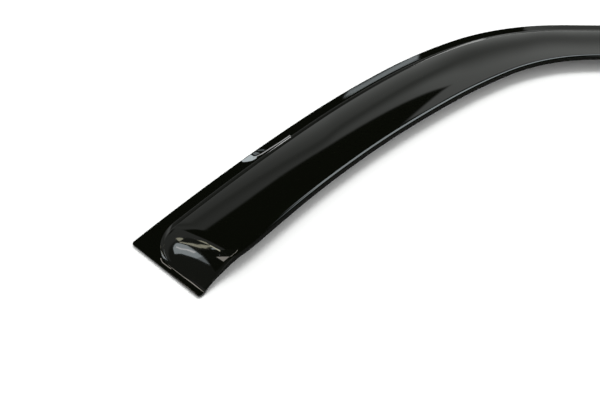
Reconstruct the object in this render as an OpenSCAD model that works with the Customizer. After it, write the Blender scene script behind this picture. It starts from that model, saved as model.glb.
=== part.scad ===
// Window rain deflector for a left-hand front door, outer face up, as it lies
// on a table on the bonding strips of its flange. All sizes in millimetres.
// X runs along the roof line towards the rear of the car, Y runs up, Z outward.

/* [Outer edge in plan] */
// Direction of the outer edge at its front end, measured from the roof line
start_deg = 50.7; // [46:0.1:55]
// Radius of the stretch along the windscreen pillar
pillar_r = 2275; // [1800:5:3000]
// Turn of the stretch along the windscreen pillar
pillar_deg = 5.6; // [4.6:0.1:6.6]
// Radius of the stretch above the pillar
shoulder_r = 1235; // [1000:5:1500]
// Turn of the stretch above the pillar
shoulder_deg = 6.3; // [5.3:0.1:7.3]
// Radius of the stretch that leads into the bend
lead_r = 605; // [500:5:700]
// Turn of the stretch that leads into the bend
lead_deg = 10.3; // [9.3:0.1:11.3]
// Radius of the bend between pillar and roof
bend_r = 311; // [260:1:360]
// Turn of the bend between pillar and roof
bend_deg = 29; // [27:0.1:31]
// Radius of the slow curve along the roof
roof_r = 4500; // [3500:50:6000]
// Turn of the slow curve along the roof
roof_deg = 4.2; // [3.2:0.1:5]

/* [Width in plan] */
// Width along the pillar
front_w = 92.5; // [88:0.5:96]
// Width at the bend, the widest place
bend_w = 101.5; // [97:0.5:106]
// Width along the rear half of the roof
rear_w = 91.5; // [87:0.5:96]
// Distance along the outer edge from the front end to the widest place
wide_s = 410; // [370:5:450]
// Distance along the outer edge at which the sheet starts to widen
widen_s = 120; // [90:5:150]
// Amount by which each end is narrower than the sheet beside it
end_narrow = 6.5; // [4:0.5:9]
// Length over which the sheet narrows towards each end
narrow_len = 70; // [50:1:90]
// Radius of the corners of the outline
corner_r = 3; // [2:0.1:5]

/* [Section] */
// Thickness of the acrylic sheet
wall_t = 2.6; // [2.2:0.1:3]
// Width of the flange along the outer edge
flange_w = 11; // [10:0.5:13]
// Width over which the step rises from the flange
step_w = 7; // [6:0.1:8]
// Height of the step above the slope of the crown
step_h = 0.8; // [0.6:0.05:1.2]
// Share of the step's width that is hollow, below its crest
step_hollow = 0.88; // [0.8:0.02:0.92]
// Slope at the foot of the step, as a share of its mean slope
step_lead = 0.6; // [0.4:0.05:0.8]
// Slope of the crown beside the flange
crown_slope_deg = 15.6; // [13:0.2:17]
// Slope of the crown near the free edge
brow_slope_deg = 8.6; // [6:0.2:10]
// Width of the hollow between the flange and the slope of the crown
crown_foot_w = 1; // [0.6:0.1:2]
// Outer radius of the turn into the lip
lip_r = 3.2; // [2.9:0.1:4]
// Angle by which the lip is turned down
lip_deg = 80; // [70:1:86]
// Length of the straight face of the lip
lip_face = 3.8; // [3:0.1:4.6]
// Bevel along every edge of the sheet
edge_r = 0.5; // [0.3:0.05:0.8]

/* [Ends] */
// Width of the flange across each end
end_flange_w = 5.5; // [5:0.1:7]
// Plan radius of the flange line at the corner between side and end
nose_r = 34; // [28:0.5:38]
// Length of the ramp between end flange and crown
ramp_len = 34; // [30:0.5:40]
// Half length of the soft bend at the top of the ramp
ramp_soft = 7; // [5:0.5:9]
// Length of the hollow at the foot of the ramp
ramp_foot = 1.6; // [1:0.1:2.5]
// Share of the step height that is left along the ends
end_step = 0.9; // [0.7:0.05:1]
// Share of the step width that is left along the ends
end_step_w = 0.35; // [0.25:0.01:0.5]

/* [Bonding strips] */
// Thickness of the foam strip
tape_t = 0.8; // [0.6:0.05:1.2]
// Width of the foam strip along the outer edge
tape_w = 8; // [6:0.1:8.6]
// Distance of that strip from the outer edge
tape_inset = 1.2; // [0.9:0.05:1.4]
// Width of the foam strip across each end
end_tape_w = 3.4; // [2.6:0.1:3.6]
// Gap between one strip and the next
tape_gap = 7; // [5:0.5:10]
// Distance along the outer edge at which the pillar strip ends
pillar_tape_s = 350; // [320:1:380]
// Distance along the outer edge at which the bend strip ends
bend_tape_s = 620; // [590:1:650]
// Thickness of the release liner under each strip
liner_t = 0.15; // [0.1:0.01:0.25]
// Length of the tab by which each liner is pulled off
liner_tab = 4; // [2:0.5:4.5]

/* [Which piece] */
// Name of the piece that is drawn, or all

/* [Hidden] */

smoke = [0.06, 0.065, 0.06];
foam = [0.13, 0.13, 0.13];
red = [0.72, 0.10, 0.09];

// Spacing of the sections along the plain stretch of the sheet
row_step = 14.6;
// Spacing of the corners of the strips along the outer edge
strip_step = 9;
// Length over which slopes of the lip are taken
probe = 0.05;
// Length over which slopes of the rest are taken, which keeps the lower face
// of the sheet smooth behind the crest of the step
sheet_probe = 1.5;

// Height of the lower face of the flange above the table
bed_z = liner_t + tape_t;
// Height of the upper face of the flange above the table
deck_z = bed_z + wall_t;

// Outer edge in plan: tangent arcs, each turning towards the window
arcs = [[pillar_r, pillar_deg], [shoulder_r, shoulder_deg],
        [lead_r, lead_deg], [bend_r, bend_deg], [roof_r, roof_deg]];
last_arc = len(arcs) - 1;
rad = PI / 180;
function arc_step(r, h, a) = r * [sin(h) - sin(h - a), cos(h - a) - cos(h)];
function s_to(i) = i <= 0 ? 0 : s_to(i - 1) + arcs[i - 1][0] * arcs[i - 1][1] * rad;
function h_to(i) = i <= 0 ? start_deg : h_to(i - 1) - arcs[i - 1][1];
function p_to(i) = i <= 0 ? [0, 0]
    : p_to(i - 1) + arc_step(arcs[i - 1][0], h_to(i - 1), arcs[i - 1][1]);
knot_s = [for (i = [0:last_arc + 1]) s_to(i)];
knot_h = [for (i = [0:last_arc + 1]) h_to(i)];
knot_p = [for (i = [0:last_arc + 1]) p_to(i)];
path_len = knot_s[last_arc + 1];

function arc_of(s, i = last_arc) = i == 0 || s >= knot_s[i] ? i : arc_of(s, i - 1);
function turned(s, i) = (s - knot_s[i]) / arcs[i][0] / rad;
function heading(s) = let (i = arc_of(s)) knot_h[i] - turned(s, i);
function radius_at(s) = arcs[arc_of(s)][0];
// Point at distance s along the outer edge and distance d inward from it
function plan(s, d) = let (i = arc_of(s), h = heading(s))
    knot_p[i] + arc_step(arcs[i][0], knot_h[i], turned(s, i)) + d * [sin(h), -cos(h)];

function soft(t) = let (c = min(1, max(0, t))) c * c * (3 - 2 * c);
function mix(a, b, t) = a + (b - a) * t;

// Distance from the nearer end, measured along the outer edge
function from_end(s) = min(s, path_len - s);
// Width of the sheet at distance s
function width(s) = (s < wide_s ? mix(front_w, bend_w, soft((s - widen_s) / (wide_s - widen_s)))
                                : mix(bend_w, rear_w, soft((s - wide_s) / wide_s)))
    - end_narrow * (1 - soft(from_end(s) / narrow_len));

// Centre of the rounded corner of the flange line
nose_e = end_flange_w + nose_r;
nose_d = flange_w + nose_r;
// Distance inside the flange line
function inside(e, d) = e < nose_e && d < nose_d
    ? nose_r - norm([nose_e - e, nose_d - d])
    : min(e - end_flange_w, d - flange_w);
// Distance of the flange line from the outer edge
function line_d(e) = e >= nose_e ? flange_w
    : e <= end_flange_w ? nose_d
    : nose_d - sqrt(nose_r * nose_r - pow(nose_e - e, 2));

// Rise of the ramp, from 0 at the end flange to 1 on the plain stretch
ramp_top = ramp_len + ramp_foot / 2;
function ramp(w) = w <= 0 ? 0
    : w < ramp_foot ? w * w / (2 * ramp_foot * ramp_len)
    : w < ramp_top - ramp_soft ? (w - ramp_foot / 2) / ramp_len
    : w < ramp_top + ramp_soft ? 1 - pow(ramp_top + ramp_soft - w, 2) / (4 * ramp_soft * ramp_len)
    : 1;

// Crown inside the flange line, a slope that flattens towards the free edge
crown_fall = (tan(crown_slope_deg) - tan(brow_slope_deg)) / (2 * (front_w - flange_w));
function crown(d) =
    let (u = d <= 0 ? 0 : d < crown_foot_w ? d * d / (2 * crown_foot_w) : d - crown_foot_w / 2)
    tan(crown_slope_deg) * u - crown_fall * u * u;

// The step: a flank that steepens up to the crest, then a tight turn
step_rise = (1 - step_lead * (1 + step_hollow) / 2) / step_hollow;
step_turn = (step_lead + 2 * step_rise * step_hollow) / (2 * (1 - step_hollow));
function step(t) = let (c = min(1, max(0, t)))
    c < step_hollow ? step_lead * c + step_rise * c * c : 1 - step_turn * pow(1 - c, 2);

// Height of the outer face above the flange
function rise(e, d) = let (g = inside(e, d), r = ramp(e - end_flange_w))
    g <= 0 ? 0
    : step_h * step(g / (step_w * mix(end_step_w, 1, r))) * mix(end_step, 1, r)
      + crown(d - line_d(e)) * r;

// Lip: a turn, then a straight face; q runs from 0 to 1 over each
lip_in = lip_r * sin(lip_deg) + (lip_face - edge_r) * cos(lip_deg);
function lip_d(q) = lip_r * sin(lip_deg * min(q, 1))
    + (lip_face - edge_r) * cos(lip_deg) * max(q - 1, 0);
function lip_drop(q) = lip_r * (1 - cos(lip_deg * min(q, 1)))
    + (lip_face - edge_r) * sin(lip_deg) * max(q - 1, 0);
function lip_share(e) = soft((e - end_flange_w) / (ramp_len + ramp_soft / 2));

// The free edge of the upper face, inside the bevel and the corner rounding
inner_r = corner_r - edge_r;
function corner_cut(e) = let (x = corner_r - e)
    x <= 0 ? 0 : inner_r - sqrt(max(0, inner_r * inner_r - x * x));
function free_d(s) = width(s) - edge_r * cos(lip_deg) - corner_cut(from_end(s));

// A place on the sheet is [d, q]: q < 0 on the flange and the crown, where d is
// the distance from the outer edge, and q >= 0 on the lip
function place_d(s, m) = m[1] < 0 ? m[0] : free_d(s) - lip_in + lip_d(m[1]);
function place_z(s, m) = let (e = from_end(s))
    rise(e, place_d(s, m)) - (m[1] < 0 ? 0 : lip_share(e) * lip_drop(m[1]));
function outer_point(s, m) = let (p = plan(s, place_d(s, m)))
    [p[0], p[1], deck_z + place_z(s, m)];

// Unit normal of the outer face
function outer_normal(s, m) =
    let (on_lip = m[1] >= 0,
         reach = on_lip ? probe : sheet_probe,
         a = on_lip ? [m[0], max(0, m[1] - reach)] : [m[0] - reach, -1],
         b = on_lip ? [m[0], min(2, m[1] + reach)] : [m[0] + reach, -1],
         z_s = (place_z(s + reach, m) - place_z(s - reach, m)) / (2 * reach),
         d_s = (place_d(s + reach, m) - place_d(s - reach, m)) / (2 * reach),
         d_a = place_d(s, b) - place_d(s, a),
         z_a = place_z(s, b) - place_z(s, a),
         k = 1 - place_d(s, m) / radius_at(s),
         v = [d_s * z_a - z_s * d_a, -k * z_a, k * d_a],
         h = heading(s),
         u = v / norm(v))
    place_z(s, m) == 0 ? [0, 0, 1]
    : [u[0] * cos(h) + u[1] * sin(h), u[0] * sin(h) - u[1] * cos(h), u[2]];

// Rows run across the sheet, closer together at the ends
foot_e = end_flange_w + ramp_foot;
end_rows = concat(
    [for (a = [0:30:90]) edge_r + inner_r * (1 - cos(a))],
    [end_flange_w],
    [for (w = [0.5, 1]) end_flange_w + ramp_foot * w],
    [for (i = [1:6]) foot_e + (ramp_len - ramp_soft - ramp_foot) * pow(i / 6, 1.35)],
    [for (i = [1:4]) end_flange_w + ramp_len - ramp_soft + 2 * ramp_soft * i / 4]);
plain_s = path_len - 2 * end_rows[len(end_rows) - 1];
plain_n = ceil(plain_s / row_step);
rows = concat(end_rows,
    [for (i = [1:plain_n - 1]) end_rows[len(end_rows) - 1] + plain_s * i / plain_n],
    [for (i = [len(end_rows) - 1:-1:0]) path_len - end_rows[i]]);

// Columns run along the sheet: the flange, the step, the crown, then the lip
step_cols = concat([for (i = [0:4]) step_hollow * i / 4], [(1 + step_hollow) / 2, 1]);
crown_cols = [for (i = [1:9]) i / 9];
lip_cols = [0.2, 0.4, 0.6, 0.8, 1, 2];
stretch_max = 2.2;
function stretch(e) = e >= nose_e ? 1
    : min(stretch_max, nose_r / sqrt(max(0.01, nose_r * nose_r - pow(nose_e - e, 2))));
function places(s) =
    let (e = from_end(s),
         d0 = edge_r + corner_cut(e),
         d1 = line_d(e),
         d2 = d1 + step_w * stretch(e),
         d3 = free_d(s) - lip_in)
    concat([[d0, -1]],
           [for (t = step_cols) [mix(d1, d2, t), -1]],
           [for (t = crown_cols) t < 1 ? [mix(d2, d3, t), -1] : [0, 0]],
           [for (q = lip_cols) [0, q]]);

nr = len(rows);
grid_m = [for (s = rows) places(s)];
nc = len(grid_m[0]);
outer_pts = [for (i = [0:nr - 1]) [for (m = grid_m[i]) outer_point(rows[i], m)]];
normals = [for (i = [0:nr - 1]) [for (m = grid_m[i]) outer_normal(rows[i], m)]];

// The rim of the grid, once round, clockwise seen from outside the car
rim = concat([for (i = [0:nr - 1]) [i, 0]],
             [for (j = [1:nc - 1]) [nr - 1, j]],
             [for (i = [nr - 2:-1:0]) [i, nc - 1]],
             [for (j = [nc - 2:-1:1]) [0, j]]);
nb = len(rim);
function rim_p(k) = let (m = rim[(k + nb) % nb]) outer_pts[m[0]][m[1]];
function unit(v) = v / norm(v);
function rim_out(k) = let (m = rim[k]) unit(cross(normals[m[0]][m[1]], unit(rim_p(k + 1) - rim_p(k)) + unit(rim_p(k) - rim_p(k - 1))));
function rim_n(k) = let (m = rim[k]) normals[m[0]][m[1]];
bevel_out = [for (k = [0:nb - 1]) rim_p(k) + edge_r * (rim_out(k) - rim_n(k))];
bevel_in = [for (k = [0:nb - 1]) rim_p(k) + edge_r * rim_out(k) - (wall_t - edge_r) * rim_n(k)];

// Middle of the outline in plan, which is brought over the origin
function coords(points, axis) = [for (p = points) p[axis]];
mid = [for (axis = [0, 1]) (min(coords(bevel_out, axis)) + max(coords(bevel_out, axis))) / 2];

// The sheet: one shell with flange, step, crown, lip and ramped ends
module visor() {
    top = [for (row = outer_pts) for (p = row) p];
    under = [for (i = [0:nr - 1]) for (j = [0:nc - 1]) outer_pts[i][j] - wall_t * normals[i][j]];
    n = nr * nc;
    function at(i, j) = i * nc + j;
    function rim_at(k) = let (m = rim[k % nb]) at(m[0], m[1]);
    function out_at(k) = 2 * n + k % nb;
    function in_at(k) = 2 * n + nb + k % nb;
    faces = concat(
        [for (i = [0:nr - 2]) for (j = [0:nc - 2])
            for (f = [[at(i, j), at(i + 1, j), at(i + 1, j + 1)],
                      [at(i, j), at(i + 1, j + 1), at(i, j + 1)]]) f],
        [for (i = [0:nr - 2]) for (j = [0:nc - 2])
            for (f = [[at(i, j), at(i + 1, j + 1), at(i + 1, j)],
                      [at(i, j), at(i, j + 1), at(i + 1, j + 1)]]) [for (v = f) v + n]],
        [for (k = [0:nb - 1])
            for (f = [[rim_at(k), out_at(k + 1), rim_at(k + 1)],
                      [rim_at(k), out_at(k), out_at(k + 1)],
                      [out_at(k), in_at(k + 1), out_at(k + 1)],
                      [out_at(k), in_at(k), in_at(k + 1)],
                      [in_at(k), rim_at(k + 1) + n, in_at(k + 1)],
                      [in_at(k), rim_at(k) + n, rim_at(k + 1) + n]]) f]);
    color(smoke) translate([-mid[0], -mid[1], 0])
        polyhedron(points = concat(top, under, bevel_out, bevel_in), faces = faces, convexity = 8);
}

// A flat strip between two distances along and two distances in
module strip(s0, s1, d0, d1, z, t) {
    n = ceil((s1 - s0) / strip_step);
    outline = concat([for (i = [0:n]) plan(mix(s0, s1, i / n), d0)],
                     [for (i = [n:-1:0]) plan(mix(s0, s1, i / n), d1)]);
    translate([-mid[0], -mid[1], z]) linear_extrude(t) polygon(outline);
}

module edge_tape(s0, s1) {
    color(foam) strip(s0, s1, tape_inset, tape_inset + tape_w, liner_t, tape_t);
}

module edge_liner(s0, s1) {
    color(red) strip(s0, s1 + liner_tab, tape_inset, tape_inset + tape_w, 0, liner_t);
}

// Strips across an end lie between the side strip and the free edge
end_in = (end_flange_w - end_tape_w) / 2;
end_d0 = tape_inset + tape_w + tape_gap;
function end_s(rear) = rear ? path_len - end_in - end_tape_w : end_in;
function end_d1(rear) = width(rear ? path_len : 0) - corner_r - liner_tab;

module end_tape(rear) {
    color(foam) strip(end_s(rear), end_s(rear) + end_tape_w, end_d0, end_d1(rear), liner_t, tape_t);
}

module end_liner(rear) {
    color(red) strip(end_s(rear), end_s(rear) + end_tape_w, end_d0, end_d1(rear) + liner_tab, 0, liner_t);
}

// Distances along the outer edge between which each side strip lies
pillar_span = [corner_r, pillar_tape_s - tape_gap];
bend_span = [pillar_tape_s, bend_tape_s - tape_gap];
roof_span = [bend_tape_s, path_len - corner_r - liner_tab];

module tape_pillar() edge_tape(pillar_span[0], pillar_span[1]);
module tape_bend() edge_tape(bend_span[0], bend_span[1]);
module tape_roof() edge_tape(roof_span[0], roof_span[1]);
module tape_front() end_tape(false);
module tape_rear() end_tape(true);
module liner_pillar() edge_liner(pillar_span[0], pillar_span[1]);
module liner_bend() edge_liner(bend_span[0], bend_span[1]);
module liner_roof() edge_liner(roof_span[0], roof_span[1]);
module liner_front() end_liner(false);
module liner_rear() end_liner(true);

visor();
tape_pillar();
tape_bend();
tape_roof();
tape_front();
tape_rear();
liner_pillar();
liner_bend();
liner_roof();
liner_front();
liner_rear();
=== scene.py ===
"""Smoked rain deflector for a car door window, lying on a pale table.

The sheet is formed by a Geometry Nodes tree from a flat blank, with the same
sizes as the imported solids. The foam strips and their release liners stay as
they are packed and get their own finishes. Sizes of the sheet are in
millimetres and degrees; everything that reaches the scene is in metres.
"""

import logging
import math
from dataclasses import dataclass, fields
from enum import Enum
from typing import Sequence

import bpy
import numpy as np
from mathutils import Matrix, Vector


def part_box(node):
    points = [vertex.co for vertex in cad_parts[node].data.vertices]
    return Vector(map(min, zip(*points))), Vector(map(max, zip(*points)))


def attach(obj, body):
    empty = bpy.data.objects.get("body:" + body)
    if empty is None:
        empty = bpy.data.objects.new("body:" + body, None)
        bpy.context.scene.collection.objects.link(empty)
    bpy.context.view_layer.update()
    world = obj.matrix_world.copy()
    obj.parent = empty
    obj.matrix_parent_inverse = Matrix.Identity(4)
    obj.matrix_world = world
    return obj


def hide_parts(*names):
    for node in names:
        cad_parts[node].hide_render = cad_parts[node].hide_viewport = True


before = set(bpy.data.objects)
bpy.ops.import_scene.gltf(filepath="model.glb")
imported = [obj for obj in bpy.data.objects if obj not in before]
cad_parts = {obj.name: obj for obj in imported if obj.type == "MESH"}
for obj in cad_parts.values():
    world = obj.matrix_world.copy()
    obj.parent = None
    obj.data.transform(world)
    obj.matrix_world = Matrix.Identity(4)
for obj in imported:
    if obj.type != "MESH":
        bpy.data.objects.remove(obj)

LOG = logging.getLogger("deflector")
MM = 0.001

Colour = tuple[float, float, float]
Curve = tuple[tuple[float, float], ...]
Faces = list[tuple[int, int, int, int]]
Rows = list[tuple[list[tuple[float, ...]], float]]

WHITE = (1.0, 1.0, 1.0)
WARM = (1.0, 0.97, 0.74)
COOL = (0.88, 0.97, 1.0)
CREAM = (1.0, 0.93, 0.84)


class Slot(Enum):
    """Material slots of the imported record."""

    ACRYLIC = "smoked_acrylic"
    FOAM = "foam_tape"
    LINER = "release_liner"


class Light(Enum):
    """Which rays a stage object answers to."""

    TABLE = "everything"
    REFLECTIONS = "glossy rays only"


# Node values


@dataclass(frozen=True)
class Value:
    """A number inside a node tree, written with ordinary arithmetic."""

    tree: bpy.types.NodeTree
    socket: bpy.types.NodeSocket

    def math(self, operation: str, *others: "Value | float") -> "Value":
        """Adds one Math node.

        Args:
            operation: the node's operation.
            others: its second and third operands.

        Returns:
            The node's result.
        """
        node = self.tree.nodes.new("ShaderNodeMath")
        node.operation = operation
        for entry, value in zip(node.inputs, (self, *others)):
            feed(self.tree, entry, value)
        return Value(self.tree, node.outputs[0])

    def __add__(self, other: "Value | float") -> "Value":
        """Sum."""
        return self.math("ADD", other)

    def __sub__(self, other: "Value | float") -> "Value":
        """Difference."""
        return self.math("SUBTRACT", other)

    def __rsub__(self, other: float) -> "Value":
        """Difference from a plain number."""
        return (self * -1.0) + other

    def __mul__(self, other: "Value | float") -> "Value":
        """Product."""
        return self.math("MULTIPLY", other)

    def __truediv__(self, other: "Value | float") -> "Value":
        """Quotient."""
        return self.math("DIVIDE", other)

    __radd__ = __add__
    __rmul__ = __mul__

    def least(self, other: "Value | float") -> "Value":
        """The smaller of two."""
        return self.math("MINIMUM", other)

    def most(self, other: "Value | float") -> "Value":
        """The larger of two."""
        return self.math("MAXIMUM", other)

    def within(self, low: "Value | float", high: "Value | float") -> "Value":
        """Held between two bounds."""
        return self.most(low).least(high)

    def sin(self) -> "Value":
        """Sine."""
        return self.math("SINE")

    def cos(self) -> "Value":
        """Cosine."""
        return self.math("COSINE")

    def tan(self) -> "Value":
        """Tangent."""
        return self.math("TANGENT")

    def root(self) -> "Value":
        """Square root, 0 for a negative number."""
        return self.most(0.0).math("SQRT")

    def soft(self) -> "Value":
        """Smooth step from 0 to 1."""
        held = self.within(0.0, 1.0)
        return held * held * (3.0 - held * 2.0)

    def below(self, limit: "Value | float") -> "Value":
        """1 where smaller than the limit, otherwise 0."""
        return self.math("LESS_THAN", limit)

    def toward(self, other: "Value | float", share: "Value | float") -> "Value":
        """Blend: self at share 0, other at share 1."""
        return self + (other - self) * share


def feed(tree: bpy.types.NodeTree, entry: bpy.types.NodeSocket, value: object) -> None:
    """Gives a node's input a constant, a value or another node's output.

    Args:
        tree: the tree that both are in.
        entry: the input.
        value: a plain constant, a Value or a socket.
    """
    if isinstance(value, Value):
        value = value.socket
    if isinstance(value, bpy.types.NodeSocket):
        tree.links.new(value, entry)
    else:
        entry.default_value = value


def hypot(a: Value, b: Value) -> Value:
    """Length of the diagonal of a and b."""
    return (a * a + b * b).root()


def vector(tree: bpy.types.NodeTree, x: object, y: object, z: object) -> bpy.types.NodeSocket:
    """Joins three numbers to one vector.

    Args:
        tree: the tree that the node goes into.
        x: first component.
        y: second component.
        z: third component.

    Returns:
        The vector socket.
    """
    node = tree.nodes.new("ShaderNodeCombineXYZ")
    for entry, value in zip(node.inputs, (x, y, z)):
        feed(tree, entry, value)
    return node.outputs[0]


def parts(tree: bpy.types.NodeTree, source: bpy.types.NodeSocket) -> list[Value]:
    """Splits a vector into its three numbers.

    Args:
        tree: the tree that the node goes into.
        source: the vector socket.

    Returns:
        The X, Y and Z values.
    """
    node = tree.nodes.new("ShaderNodeSeparateXYZ")
    tree.links.new(source, node.inputs[0])
    return [Value(tree, out) for out in node.outputs]


# The sheet


def crowded(count: int, power: float = 1.0) -> np.ndarray:
    """Shares from 0 to 1, closest together near 0 where the power is above 1."""
    return np.linspace(0, 1, count) ** power


@dataclass
class Sheet:
    """The acrylic sheet: flange, hollow step, crown, lip and two ramped ends.

    Every field that ends in _turn, _slope or _angle, and start_heading, is in
    degrees. The others are in millimetres, or shares where they say so.
    """

    start_heading: float = 50.7
    pillar_radius: float = 2275.0
    pillar_turn: float = 5.6
    shoulder_radius: float = 1235.0
    shoulder_turn: float = 6.3
    lead_radius: float = 605.0
    lead_turn: float = 10.3
    bend_radius: float = 311.0
    bend_turn: float = 29.0
    roof_radius: float = 4500.0
    roof_turn: float = 4.2
    front_width: float = 92.5
    bend_width: float = 101.5
    rear_width: float = 91.5
    widest_at: float = 410.0
    widening_from: float = 120.0
    end_narrowing: float = 6.5
    narrowing_length: float = 70.0
    corner_radius: float = 3.0
    wall: float = 2.6
    flange_width: float = 11.0
    step_width: float = 7.0
    step_height: float = 0.8
    hollow_share: float = 0.88
    step_lead: float = 0.6
    crown_slope: float = 15.6
    brow_slope: float = 8.6
    crown_foot: float = 1.0
    lip_radius: float = 3.2
    lip_angle: float = 80.0
    lip_face: float = 3.8
    edge_radius: float = 0.5
    end_flange: float = 5.5
    nose_radius: float = 34.0
    ramp_length: float = 34.0
    ramp_top_half: float = 7.0
    ramp_foot: float = 1.6
    end_step_height_share: float = 0.9
    end_step_width_share: float = 0.35
    under_reach: float = 1.5
    bed_height: float = 0.95

    ARCS = ("pillar", "shoulder", "lead", "bend", "roof")
    IN_DEGREES = ("_turn", "_slope", "_angle", "_heading")
    # Rows of the blank from an end inwards, and the stretch past the ramp in millimetres.
    CORNER_ROWS, FLANGE_ROWS, FOOT_ROWS = 9, 5, 15
    RAMP_ROWS, TOP_ROWS, LEAD_OUT_ROWS = 37, 17, 9
    LEAD_OUT = 24.0
    # Columns of the blank from the outer edge to the lip, and the step's share that is its foot.
    OUTER_COLUMNS = (0.0, 0.004, 0.015, 0.05, 0.12)
    FLANGE_COLUMNS, STEP_FOOT_COLUMNS, HOLLOW_COLUMNS = 4, 11, 17
    CREST_COLUMNS, CROWN_COLUMNS, TURN_COLUMNS, FACE_COLUMNS = 13, 37, 17, 4
    FREE_COLUMNS = (4.88, 4.95, 4.985, 4.996, 5.0)
    STEP_FOOT_SHARE = 0.2
    MIDDLE_COLUMN = 2.5
    EDGE_RINGS = 5

    def path_length(self) -> float:
        """Length of the outer edge."""
        return sum(
            getattr(self, f"{arc}_radius") * math.radians(getattr(self, f"{arc}_turn"))
            for arc in self.ARCS
        )

    def sizes(self) -> dict[str, float]:
        """Named inputs of the trees: each size, angles in radians.

        Returns:
            Input name and value, in the order of the fields.
        """
        named = {
            f.name.replace("_", " ").capitalize(): (
                math.radians(getattr(self, f.name))
                if f.name.endswith(self.IN_DEGREES)
                else float(getattr(self, f.name))
            )
            for f in fields(self)
        }
        named["Path length"] = self.path_length()
        return named

    # The flat blank

    def end_rows(self) -> np.ndarray:
        """Distances from an end at which the rows of the blank lie.

        Returns:
            The distances, closest together at the corner and at the ramp's foot.
        """
        corner = self.corner_radius - self.edge_radius
        foot, top = self.end_flange + self.ramp_foot, self.end_flange + self.ramp_length
        quarter_turn = np.linspace(0, math.pi / 2, self.CORNER_ROWS)
        return np.concatenate(
            [
                self.edge_radius + corner * (1 - np.cos(quarter_turn)),
                np.linspace(self.corner_radius, self.end_flange, self.FLANGE_ROWS)[1:],
                self.end_flange + self.ramp_foot * crowded(self.FOOT_ROWS, 1.5)[1:],
                foot + (top - self.ramp_top_half - foot) * crowded(self.RAMP_ROWS, 1.12)[1:],
                top + self.ramp_top_half * np.linspace(-1, 1, self.TOP_ROWS)[1:],
                top + self.ramp_top_half + self.LEAD_OUT * crowded(self.LEAD_OUT_ROWS, 1.3)[1:],
            ]
        )

    def rows(self, spacing: float = 4.4) -> np.ndarray:
        """Distances along the outer edge of all rows.

        Args:
            spacing: largest distance of two rows on the plain stretch.

        Returns:
            The distances in rising order.
        """
        ends, length = self.end_rows(), self.path_length()
        plain = np.arange(ends[-1], length - ends[-1], spacing)[1:]
        return np.concatenate([ends, plain, length - ends[::-1]])

    def columns(self) -> np.ndarray:
        """Places across the sheet, one unit for each zone.

        Returns:
            0 to 1 on the flange, to 2 on the step, to 3 on the crown, to 4 on
            the turn into the lip and to 5 on the lip's face.
        """
        hollow, foot = self.hollow_share, self.STEP_FOOT_SHARE
        return np.concatenate(
            [
                self.OUTER_COLUMNS,
                np.linspace(0.25, 1, self.FLANGE_COLUMNS)[:-1],
                1 + foot * crowded(self.STEP_FOOT_COLUMNS)[:-1],
                1 + foot + (hollow - foot) * crowded(self.HOLLOW_COLUMNS)[:-1],
                1 + hollow + (1 - hollow) * crowded(self.CREST_COLUMNS)[:-1],
                2 + crowded(self.CROWN_COLUMNS, 1.15)[:-1],
                3 + crowded(self.TURN_COLUMNS)[:-1],
                4 + np.linspace(0, 0.75, self.FACE_COLUMNS),
                self.FREE_COLUMNS,
            ]
        )

    def blank(self) -> bpy.types.Mesh:
        """Closed flat blank: X along, Y across, with what the forming needs.

        Attribute "push" is how far a place stands out past the rim, along and
        across; attribute "depth" is how far it lies below the outer face.

        Returns:
            The mesh, outer face first, with its edges rounded by rings.
        """
        rows, columns = self.rows(), self.columns()
        nr, nc = len(rows), len(columns)
        grid = np.arange(nr * nc).reshape(nr, nc)
        rim = np.concatenate([grid[:, 0], grid[-1, 1:], grid[-2::-1, -1], grid[0, -2:0:-1]])
        along, across = np.repeat(rows, nc), np.tile(columns, nr)
        # Outward direction at the rim: straight out at the sides and ends,
        # turning through the rounded corners.
        inner = self.corner_radius - self.edge_radius
        to_end = np.minimum(along, self.path_length() - along)
        lean = np.clip((self.corner_radius - to_end) / inner, 0, 1)
        toward_end = np.where(along < self.path_length() / 2, -1.0, 1.0)
        toward_side = np.where(across < self.MIDDLE_COLUMN, -1.0, 1.0)
        at_side = (across == columns[0]) | (across == columns[-1])
        sideways = np.where(at_side, toward_side * np.sqrt(1 - lean**2), 0)
        out = np.stack([toward_end * lean, sideways, 0 * lean], 1)
        layers = [(grid.ravel(), 0.0, 0.0), (grid.ravel(), 0.0, self.wall)]
        arc = np.radians(np.linspace(0, 90, self.EDGE_RINGS + 1)[1:])
        rounds = [(self.edge_radius * math.sin(a), self.edge_radius * (1 - math.cos(a))) for a in arc]
        rings = rounds + [(push, self.wall - depth) for push, depth in rounds[::-1]]
        layers += [(rim, push, depth) for push, depth in rings]
        pick = np.concatenate([layer[0] for layer in layers])
        push = np.concatenate([np.full(len(i), p) for i, p, _ in layers])
        depth = np.concatenate([np.full(len(i), q) for i, _, q in layers])
        places = np.stack([along[pick], across[pick], 0 * depth], 1)

        quads = np.stack([grid[:-1, :-1], grid[1:, :-1], grid[1:, 1:], grid[:-1, 1:]], -1).reshape(-1, 4)
        n, nb = nr * nc, len(rim)
        starts = [rim] + [np.arange(nb) + 2 * n + nb * k for k in range(len(rings))] + [rim + n]
        walls = [
            np.stack([np.roll(a, -1), np.roll(b, -1), b, a], 1) for a, b in zip(starts[:-1], starts[1:])
        ]
        faces = np.concatenate([quads[:, ::-1], quads + n, *walls])
        extra = {"push": out[pick] * push[:, None], "depth": depth}
        return self.plain_mesh("visor_blank", places, faces, extra)

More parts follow.
